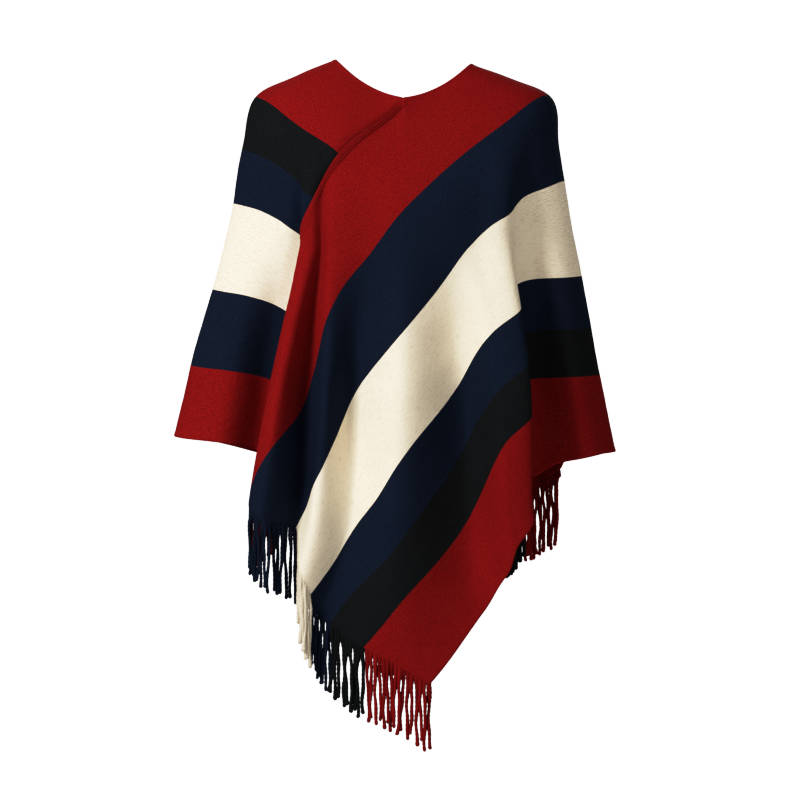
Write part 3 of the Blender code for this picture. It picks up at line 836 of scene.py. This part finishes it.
class Nodes:
    """Short calls for building a material's nodes."""

    def __init__(self, name, roughness):
        self.material = bpy.data.materials.new(name)
        self.material.use_nodes = True
        self.tree = self.material.node_tree
        self.shader = self.tree.nodes["Principled BSDF"]
        self.shader.inputs["Roughness"].default_value = roughness
        self.shader.inputs["Specular IOR Level"].default_value = SPECULAR

    def put(self, kind, **settings):
        """Add a node with some of its settings."""
        node = self.tree.nodes.new(kind)
        for key, value in settings.items():
            setattr(node, key, value)
        return node

    def link(self, source, target):
        """Join two sockets."""
        self.tree.links.new(source, target)

    def cloth_place(self):
        """The place on the cloth's map, whole and split along and across the stripe."""
        place = self.put("ShaderNodeUVMap", uv_map="cloth").outputs[0]
        split = self.put("ShaderNodeSeparateXYZ")
        self.link(place, split.inputs[0])
        return place, split.outputs[0], split.outputs[1]

    def object_place(self):
        """The place in space."""
        return self.put("ShaderNodeTexCoord").outputs["Object"]

    def shade(self):
        """The piece's own value at each point: painted shade and shadow at the seam on the panels, each
        strand's own tone in the fringe.
        """
        return self.put("ShaderNodeAttribute", attribute_name="shade").outputs["Fac"]

    def math(self, operation, first, second=None):
        """A sum of sockets and numbers."""
        node = self.put("ShaderNodeMath", operation=operation)
        for socket, value in zip(node.inputs, (first, second)):
            if value is None:
                continue
            if isinstance(value, (int, float)):
                socket.default_value = value
            else:
                self.link(value, socket)
        return node.outputs[0]

    def ridges(self, value):
        """Rounded ridges, one for each whole step of a value."""
        return self.math("ABSOLUTE", self.math("SINE", self.math("MULTIPLY", value, math.pi)))

    def noise(self, place, noise):
        """Smooth noise, 0 to 1."""
        mapping = self.put("ShaderNodeMapping")
        mapping.inputs["Scale"].default_value = noise.stretch
        self.link(place, mapping.inputs["Vector"])
        node = self.put("ShaderNodeTexNoise")
        node.inputs["Scale"].default_value = noise.scale
        node.inputs["Detail"].default_value = noise.detail
        self.link(mapping.outputs[0], node.inputs["Vector"])
        return node.outputs["Fac"]

    def ramp(self, value, low, high):
        """Stretch a value to 0 to 1 between two levels."""
        node = self.put("ShaderNodeMapRange")
        node.inputs["From Min"].default_value = low
        node.inputs["From Max"].default_value = high
        self.link(value, node.inputs["Value"])
        return node.outputs[0]

    def mix(self, share, first, second, blend="MIX"):
        """Mix two colours, each a socket or a tuple."""
        node = self.put("ShaderNodeMix", data_type="RGBA", blend_type=blend)
        if isinstance(share, (int, float)):
            node.inputs[0].default_value = share
        else:
            self.link(share, node.inputs[0])
        for socket, value in ((node.inputs[6], first), (node.inputs[7], second)):
            if isinstance(value, tuple):
                socket.default_value = (*value, 1)
            else:
                self.link(value, socket)
        return node.outputs[2]

    def base_colour(self, colour):
        """Give the shader its colour."""
        self.link(colour, self.shader.inputs["Base Color"])

    def bump(self, relief, distance, strength):
        """Give the shader its fine relief."""
        node = self.put("ShaderNodeBump")
        node.inputs["Distance"].default_value = distance
        node.inputs["Strength"].default_value = strength
        self.link(relief, node.inputs["Height"])
        self.link(node.outputs[0], self.shader.inputs["Normal"])


def scaled(colour, share):
    """A colour made lighter or darker."""
    return tuple(channel * share for channel in colour)


def stitch_relief(nodes, place, along, across):
    """Height of the rows of small stitches, 0 to 1."""
    drift = nodes.noise(place, DRIFT)
    wobble = nodes.math("MULTIPLY", nodes.math("SUBTRACT", drift, 0.5), ROW_WOBBLE)
    row = nodes.math("DIVIDE", nodes.math("ADD", across, wobble), ROW_SPACING)
    parity = nodes.math("MULTIPLY", nodes.math("FLOOR", row), 0.5)
    stitch = nodes.math("ADD", nodes.math("DIVIDE", along, STITCH_SPACING), parity)
    loops = nodes.math("ADD", nodes.math("MULTIPLY", nodes.ridges(stitch), 0.45), 0.55)
    return nodes.math("MULTIPLY", nodes.math("POWER", nodes.ridges(row), 0.6), loops)


def yarn_colour(nodes, place, yarn):
    """Heathered yarn with lighter specks and darker dashes along the rows."""
    dark = scaled(yarn.colour, 1 - yarn.heather * 0.7)
    base = nodes.mix(nodes.ramp(nodes.noise(place, HEATHER), 0.34, 0.66), dark, yarn.colour)
    specks = nodes.ramp(nodes.noise(place, SPECKS), 0.62, 0.78)
    base = nodes.mix(nodes.math("MULTIPLY", specks, yarn.heather), base, yarn.speck)
    dashes = nodes.ramp(nodes.noise(place, DASHES), 0.55, 0.66)
    return nodes.mix(nodes.math("MULTIPLY", dashes, yarn.dashes), base, yarn.dash)


def knit_material(name, yarn):
    """Rows of small stitches along the stripe, with heathered yarn, painted shade in the hollows between the
    rows, and painted shade and shadow at the seam.
    """
    nodes = Nodes(f"{name}_knit", KNIT_ROUGHNESS)
    place, along, across = nodes.cloth_place()
    relief = stitch_relief(nodes, place, along, across)
    # Painted shade in the hollows between the knitted rows, darker where the stitch relief is low
    painted_row_shade = nodes.math("MULTIPLY", nodes.ramp(relief, 0.55, 0.05), yarn.rows)
    # Painted shade in the seam's grooves and painted shadow under its edge, from the shade attribute
    painted_groove_shade = nodes.math("MULTIPLY", nodes.shade(), PAINTED_SHADE_DEPTH)
    level = nodes.math("SUBTRACT", 1.0, painted_row_shade)
    level = nodes.math("MULTIPLY", level, nodes.math("SUBTRACT", 1.0, painted_groove_shade))
    patches = nodes.math("MULTIPLY", nodes.noise(place, PATCHES), 0.14)
    level = nodes.math("MULTIPLY", level, nodes.math("ADD", patches, 0.93))
    grey = nodes.put("ShaderNodeCombineColor")
    for socket in grey.inputs[:3]:
        nodes.link(level, socket)
    nodes.base_colour(nodes.mix(1.0, yarn_colour(nodes, place, yarn), grey.outputs[0], "MULTIPLY"))
    fuzz = nodes.math("MULTIPLY", nodes.noise(place, FUZZ), FUZZ_RELIEF)
    nodes.bump(nodes.math("ADD", relief, fuzz), KNIT_RELIEF, 0.8)
    return nodes.material


def strand_material(name, yarn):
    """Loosely twisted two-ply yarn with painted shade between the plies, each strand in its own tone."""
    nodes = Nodes(f"{name}_yarn", YARN_ROUGHNESS)
    _, down, around = nodes.cloth_place()
    lay = nodes.math("ADD", nodes.math("DIVIDE", down, TWIST_SPACING), nodes.math("MULTIPLY", around, 2.0))
    fibre = nodes.ridges(lay)
    dark, light, lightest = (scaled(yarn.colour, share) for share in TWIST_SHARES)
    # Darker in the hollows between the plies: painted shade
    mixed = nodes.mix(nodes.math("MULTIPLY", fibre, 0.6), dark, light)
    mixed = nodes.mix(nodes.math("MULTIPLY", nodes.shade(), 0.35), mixed, lightest)
    nodes.base_colour(mixed)
    fuzz = nodes.noise(nodes.object_place(), FIBRES)
    nodes.bump(nodes.math("ADD", fibre, fuzz), TWIST_RELIEF, 0.7)
    return nodes.material


def floor_material():
    """A pale plain floor."""
    nodes = Nodes("pale_floor", FLOOR_ROUGHNESS)
    tone = nodes.ramp(nodes.noise(nodes.object_place(), FLOOR_TONE), 0.0, 1.0)
    nodes.base_colour(nodes.mix(tone, *FLOOR_TONES))
    return nodes.material


# -------------------------------------------------------------------- staging

def add_item(name, data):
    """A new object in the scene."""
    item = bpy.data.objects.new(name, data)
    bpy.context.scene.collection.objects.link(item)
    return item


def add_light(light):
    """A soft square light aimed at a point."""
    data = bpy.data.lights.new(light.name, "AREA")
    data.shape = "SQUARE"
    data.size = light.size
    data.energy = light.power
    item = add_item(light.name, data)
    item.location = light.place
    away = item.location - Vector(light.target)
    item.rotation_euler = away.to_track_quat("Z", "Y").to_euler()


def add_floor():
    """The floor below the garment."""
    bpy.ops.mesh.primitive_plane_add(size=FLOOR_SIZE, location=(0, 0, FLOOR_LEVEL))
    floor = bpy.context.object
    floor.name = "floor"
    floor.data.materials.append(floor_material())


def add_world(scene):
    """Soft light from all sides, seen as plain white."""
    world = bpy.data.worlds.new("studio")
    world.use_nodes = True
    tree = world.node_tree
    soft = tree.nodes["Background"]
    soft.inputs["Color"].default_value = WHITE
    soft.inputs["Strength"].default_value = SOFT_LIGHT
    white = tree.nodes.new("ShaderNodeBackground")
    white.inputs["Color"].default_value = WHITE
    white.inputs["Strength"].default_value = SEEN_WHITE
    rays = tree.nodes.new("ShaderNodeLightPath")
    join = tree.nodes.new("ShaderNodeMixShader")
    tree.links.new(rays.outputs["Is Camera Ray"], join.inputs[0])
    tree.links.new(soft.outputs[0], join.inputs[1])
    tree.links.new(white.outputs[0], join.inputs[2])
    tree.links.new(join.outputs[0], tree.nodes["World Output"].inputs["Surface"])
    scene.world = world


def set_tone(view):
    """A studio photograph's tone curve: firm shadows and soft highlights."""
    view.view_transform = "Standard"
    view.use_curve_mapping = True
    curve = view.curve_mapping.curves[3]
    for place, level in TONE_CURVE:
        curve.points.new(place, level)
    view.curve_mapping.update()


def add_camera(scene):
    """A far, level camera that frames the garment as the photograph does."""
    data = bpy.data.cameras.new("camera")
    data.sensor_width = SENSOR
    data.lens = SENSOR * CAMERA_FAR / (PHOTO_SIDE * PIXEL)
    data.clip_end = CAMERA_END
    item = add_item("camera", data)
    middle = PHOTO_SIDE / 2
    across = (middle - MIDDLE_COLUMN) * PIXEL
    item.location = (across, -CAMERA_FAR - CAMERA_STEP_BACK, -(middle - ORIGIN_ROW) * PIXEL)
    item.rotation_euler = (math.radians(90), 0, 0)
    scene.camera = item


def build_stage():
    """Floor, world, tone, lights and camera."""
    scene = bpy.context.scene
    add_floor()
    add_world(scene)
    set_tone(scene.view_settings)
    for light in LIGHTS:
        add_light(light)
    add_camera(scene)


# ----------------------------------------------------------------------- main


def dress_panel(side, stripes, others, turned, rings, knits):
    """One panel in place of its solid."""
    panel = build_panel(f"{side}_knitted_panel", stripes, others, turned, rings, knits)
    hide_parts(f"panel_{side}_shoulder")
    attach(panel, "root")
    return panel


def dress_fringe(end, stripes, turned, rings, knits, strands):
    """The fringe pieces at one end, each in place of its solid."""
    pieces = []
    start = 0.0
    for number, stripe in enumerate(stripes):
        seed = number + (BACK_SEED if turned else 0)
        piece = build_fringe(f"{end}_strands_{stripe.name}", stripe, start, turned, seed, rings,
                             knits[stripe.yarn], strands[stripe.yarn])
        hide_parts(f"{end}_fringe_{stripe.name}")
        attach(piece, "root")
        pieces.append(piece)
        start += stripe.width
    return pieces


def main():
    """Dress the frame."""
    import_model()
    build_stage()
    rings = ring_tables()
    knits = {name: knit_material(name, yarn) for name, yarn in YARNS.items()}
    strands = {name: strand_material(name, yarn) for name, yarn in YARNS.items()}
    left = dress_panel("left", STRIPES_LEFT, STRIPES_RIGHT, False, rings, knits)
    front = dress_fringe("front", STRIPES_LEFT, False, rings, knits, strands)
    right = dress_panel("right", STRIPES_RIGHT, STRIPES_LEFT, True, rings, knits)
    back = dress_fringe("back", STRIPES_RIGHT, True, rings, knits, strands)


main()
